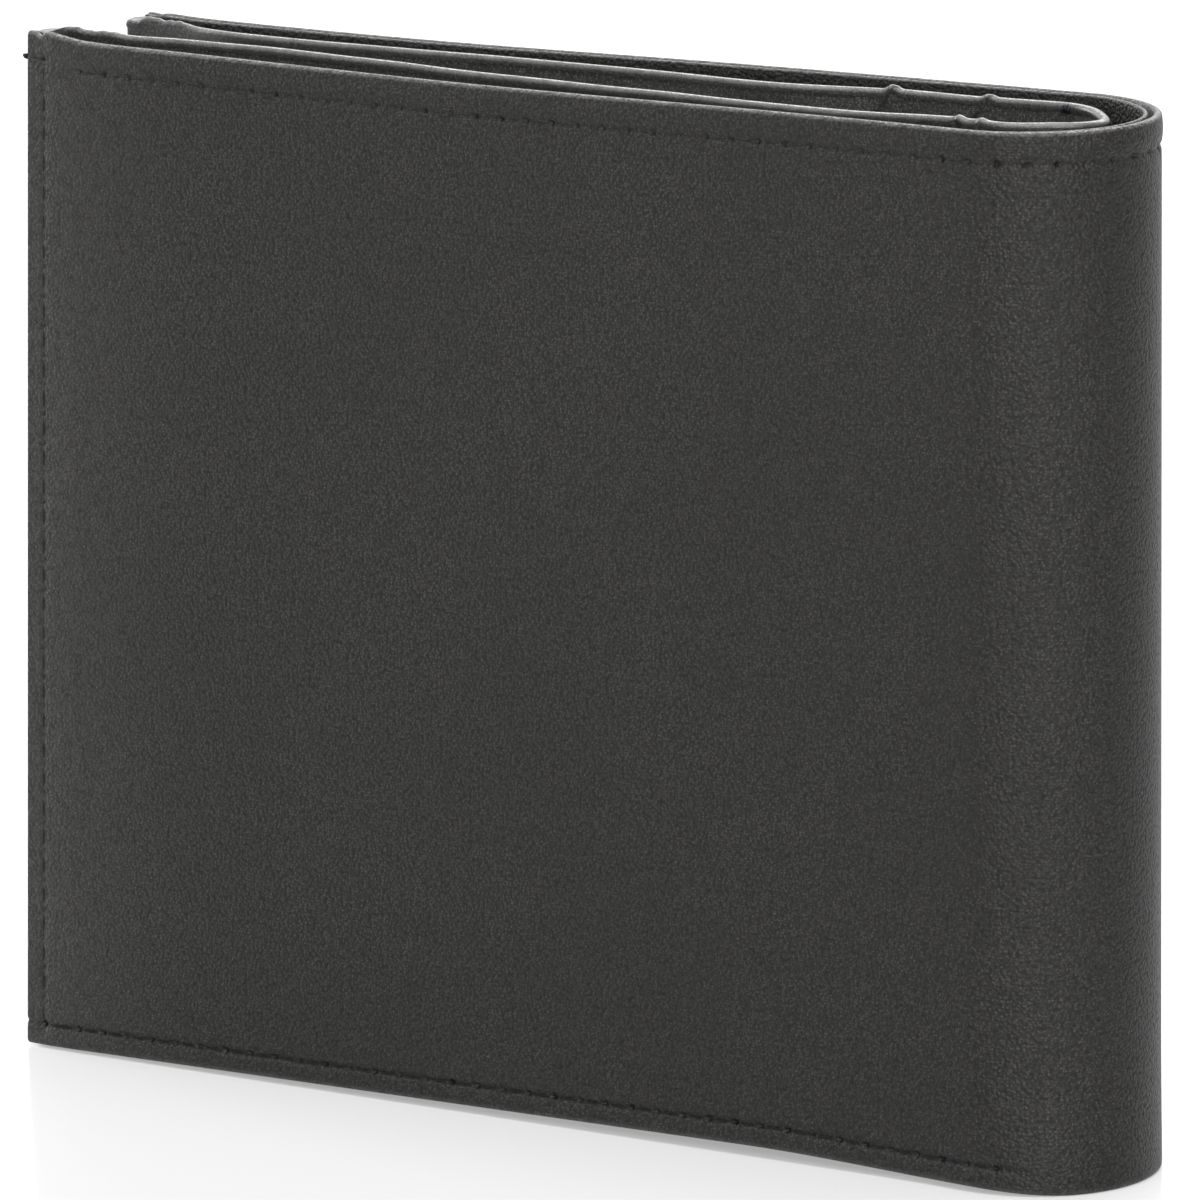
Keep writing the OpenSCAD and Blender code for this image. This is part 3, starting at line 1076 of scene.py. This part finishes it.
def seam_stitches(sign, low, high):
    """A leaf's row down the open edge, round the corner and along the bottom."""
    column = sign * (wallet_end - SEAM_ROW)
    lines, normals = low_stitches(low, high)
    for a, b in zip(side_holes[:-1], side_holes[1:]):
        line = stitch((column, column), (a + SEAM_INSET, b - SEAM_INSET), *SIDE_STITCH)
        lines.append(cover_line(*line))
        normals.append(outward(column))
    # the stitch that wraps the open edge beside the hem's row
    t = np.linspace(0, 1, 9)
    s = sign * (wallet_end - SEAM_ROW + (SEAM_ROW + THREAD_R) * np.minimum(t * 1.5, 1))
    depth = THREAD_R + 0.9 * MM * np.clip((t - 0.55) / 0.45, 0, 1) ** 1.5
    lines.append(cover_line(s, height - WRAP_DOWN + 0 * t, depth))
    normals.append(outward(column))
    return lines, normals


def inner_row(side, face, holes, fixed, upright):
    """Stitches on a sheet's inner face, along z if upright and else along the leaf."""
    lines, normals = [], []
    for a, b in zip(holes[:-1], holes[1:]):
        run = (a + INSET, b - INSET)
        s, z = ((fixed, fixed), run) if upright else (run, (fixed, fixed))
        s, z, depth = stitch(s, z, *INNER_STITCH)
        s = s * SIGNS[side]
        lines.append(cover_line(s, z, face(s, z) + depth - THREAD_R))
        normals.append(outward(s[0], inwards=True))
    return lines, normals


def pocket_stitches(side):
    """Rows at both ends of each pocket layer, above the mouth of the layer in front of it."""
    lines, normals = [], []
    first, last = POCKET_SPAN
    for k, mouth in enumerate(mouths):
        low = mouths[k + 1] + 1 * MM if k + 1 < len(mouths) else SEAM_ROW
        thickness = layer_thickness(k)
        outer = layer_depth(k)
        holes = np.arange(low, mouth - 1 * MM, PITCH)
        for at in (first + SEAM_ROW, last - SEAM_ROW):
            more = inner_row(side, lambda s, z: outer(s, z) + thickness, holes, at, True)
            lines += more[0]
            normals += more[1]
    return lines, normals


def divider_face(s, z):
    """Depth of the divider's inner face."""
    return bank_depth(s, z) + DIVIDER_T + lap_depth(s, z)


def divider_stitches(side):
    holes = np.arange(bend_end + 17 * MM, wallet_end - 3 * MM, PITCH)
    return inner_row(side, divider_face, holes, height + 0.5 * MM - HEM_ROW, False)


def knot(name, centre, out, size, body=None, fold=None):
    """A small knot: a few turns of thread drawn tight, with a short end that sticks out."""
    side = np.cross(out, (0, 0, 1))
    t = np.linspace(0, 1, 26)
    turn = 2 * math.pi * 1.6 * t
    shrink = 1 - 0.4 * t
    line = (
        centre
        + size * (np.cos(turn) * shrink)[:, None] * side
        + size * np.sin(turn)[:, None] * np.array([0, 0, 1])
        + size * (0.8 * np.sin(2.3 * turn) + 1.2 * t ** 3)[:, None] * out
    )
    return thread_mesh(name, [line], [out], 0.5 * size, body, fold)


def edge_knot():
    """Where the front seam's thread is fastened off, on the open edge below the hem."""
    s = -wallet_end - THREAD_R
    centre = place(s, 0.5 * MM, lifted(s, height - WRAP_DOWN))
    return knot("front_seam_knot", centre, np.array([-1.0, 0.2, 0.0]), 0.17 * MM, "front_leaf")


def divider_knot():
    """Where the divider's row is fastened off, on its inner face near the spine."""
    s = math.radians(85) * bend_r
    z = height - 0.55 * MM
    centre = place(s, divider_face(s, z) + 0.15 * MM, lifted(s, z))
    return knot("divider_knot", centre, outward(s, inwards=True), 0.3 * MM, fold=5)


# ---- the wallet
def cover_lining():
    made = wrap(cover_lining_layer(), "lining_cloth", lining_material,
                "lining")


def leaf_threads(side, low, high):
    """A leaf's rows of stitches, which lie between two places."""
    rows = (
        ("hem", hem_stitches(low, high), THREAD_R),
        ("seam", seam_stitches(SIGNS[side], low, high), THREAD_R),
        ("pocket", pocket_stitches(side), POCKET_THREAD_R),
        ("divider", divider_stitches(side), DIVIDER_THREAD_R),
    )
    for kind, (lines, normals), radius in rows:
        row = thread_mesh(f"{side}_{kind}_stitches", lines, normals, radius, f"{side}_leaf")
        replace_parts(row, f"{side}_{kind}_thread")


def fold_threads():
    """The hem's row over each fold, and the ends of the bottom row over the first and last."""
    for k in range(1, 6):
        span = fold_cuts[k - 1], fold_cuts[k]
        hem = thread_mesh(f"hem_stitches_fold_{k}", *hem_stitches(*span), THREAD_R, fold=k)
        if k < 5:
            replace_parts(hem, f"spine_thread_{k}")
    for side, k in (("front", 1), ("rear", 5)):
        lines, normals = low_stitches(fold_cuts[k - 1], fold_cuts[k])
        seam = thread_mesh(f"{side}_seam_stitches_fold", lines, normals, THREAD_R, fold=k)
        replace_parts(seam, f"{side}_seam_thread")


wrap(cover_layer(), "cover_leather", cover_leather, "cover")
wrap(divider_layer(), "divider_leather", divider_leather,
     "divider")
cover_lining()
for side, low, high in LEAVES:
    divider_lining(side)
    for k in range(len(pocket_kinds)):
        pocket(side, k)
    leaf_threads(side, low, high)
fold_threads()
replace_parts(edge_knot(), "front_seam_thread")
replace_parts(divider_knot(), "rear_divider_thread")


# ---- floor, light and camera
FLOOR_HALF = 2.5
FLOOR_LINES = 24
# The floor lights itself a little, so that it stays near white where it meets the wallet
FLOOR_TONE = 0.38
FLOOR_GLOW = 0.36


def floor_material():
    m = Nodes("studio_floor")
    m.shader.inputs["Base Color"].default_value = (FLOOR_TONE, FLOOR_TONE, FLOOR_TONE, 1)
    m.shader.inputs["Emission Color"].default_value = (1, 1, 1, 1)
    m.set("Emission Strength", FLOOR_GLOW)
    m.set("Roughness", m.math("MULTIPLY_ADD", m.noise(m.surface(), 6, 2), 0.04, 0.12))
    m.set("Specular IOR Level", 0.2)
    return m.material


def stage_floor():
    n = FLOOR_LINES
    lines = np.linspace(-FLOOR_HALF, FLOOR_HALF, n)
    points = [(x, y, 0) for x in lines for y in lines]
    faces = [[i * n + j, (i + 1) * n + j, (i + 1) * n + j + 1, i * n + j + 1]
             for i in range(n - 1) for j in range(n - 1)]
    mesh = bpy.data.meshes.new("studio_floor")
    mesh.from_pydata(points, [], faces)
    layer = mesh.uv_layers.new(name="grain")
    corners = [points[v][:2] for face in faces for v in face]
    layer.data.foreach_set("uv", np.array(corners, np.float32).ravel())
    mesh.materials.append(floor_material())
    floor = new_object("studio_floor", mesh)


def towards(azimuth, elevation):
    """Direction with azimuth 0 on the -Y side and 90 on the +X side, in degrees."""
    a, e = math.radians(azimuth), math.radians(elevation)
    return Vector((math.sin(a) * math.cos(e), -math.cos(a) * math.cos(e), math.sin(e)))


LIGHT_DISTANCE = 0.9


def soft_light(name, azimuth, elevation, size, power):
    """A rectangular soft light that looks at the wallet's middle."""
    target = Vector((0, 0, height / 2))
    at = target + LIGHT_DISTANCE * towards(azimuth, elevation)
    data = bpy.data.lights.new(name, "AREA")
    data.shape = "RECTANGLE"
    data.size, data.size_y = size
    data.energy = power
    light = new_object(name, data)
    light.location = at
    light.rotation_euler = (at - target).to_track_quat("Z", "Y").to_euler()


def studio():
    """A world that is paler on one side, and five soft lights."""
    world = bpy.data.worlds.new("studio")
    bpy.context.scene.world = world
    world.use_nodes = True
    tree = world.node_tree
    background = tree.nodes["Background"]
    where = tree.nodes.new("ShaderNodeTexCoord")
    dot = tree.nodes.new("ShaderNodeVectorMath")
    dot.operation = "DOT_PRODUCT"
    dot.inputs[1].default_value = (-0.5, 0.86, 0.1)
    tree.links.new(where.outputs["Generated"], dot.inputs[0])
    ramp = tree.nodes.new("ShaderNodeValToRGB")
    for end, position, level in zip(ramp.color_ramp.elements, (0.1, 0.7), (0.2, 1)):
        end.position = position
        end.color = (level, level, level, 1)
    tree.links.new(dot.outputs["Value"], ramp.inputs["Fac"])
    tree.links.new(ramp.outputs["Color"], background.inputs["Color"])
    background.inputs["Strength"].default_value = 1.05
    soft_light("key", 0, 24, (0.16, 0.3), 1.1)
    soft_light("strip", 44, 20, (0.1, 0.5), 5.6)
    soft_light("left", -95, 18, (0.5, 0.6), 5.5)
    soft_light("top", 20, 80, (0.8, 0.6), 11)
    soft_light("rim", 195, 40, (0.9, 0.4), 8)


CAMERA_AZIMUTH = 32.617
CAMERA_ELEVATION = 11.466
CAMERA_ROLL = -0.344
CAMERA_DISTANCE = 1.2
CAMERA_LENS = 418.6
LOOKED_AT = (-0.42 * MM, 0, 44.35 * MM)


def camera():
    data = bpy.data.cameras.new("camera")
    data.lens = CAMERA_LENS
    data.sensor_width = 36
    data.clip_end = 20
    eye = new_object("camera", data)
    target = Vector(LOOKED_AT)
    eye.location = target + CAMERA_DISTANCE * towards(CAMERA_AZIMUTH, CAMERA_ELEVATION)
    upright = (eye.location - target).to_track_quat("Z", "Y")
    roll = Quaternion((0, 0, 1), math.radians(CAMERA_ROLL))
    eye.rotation_euler = (upright @ roll).to_euler()
    bpy.context.scene.camera = eye


stage_floor()
studio()
camera()
bpy.context.scene.view_settings.view_transform = "Standard"
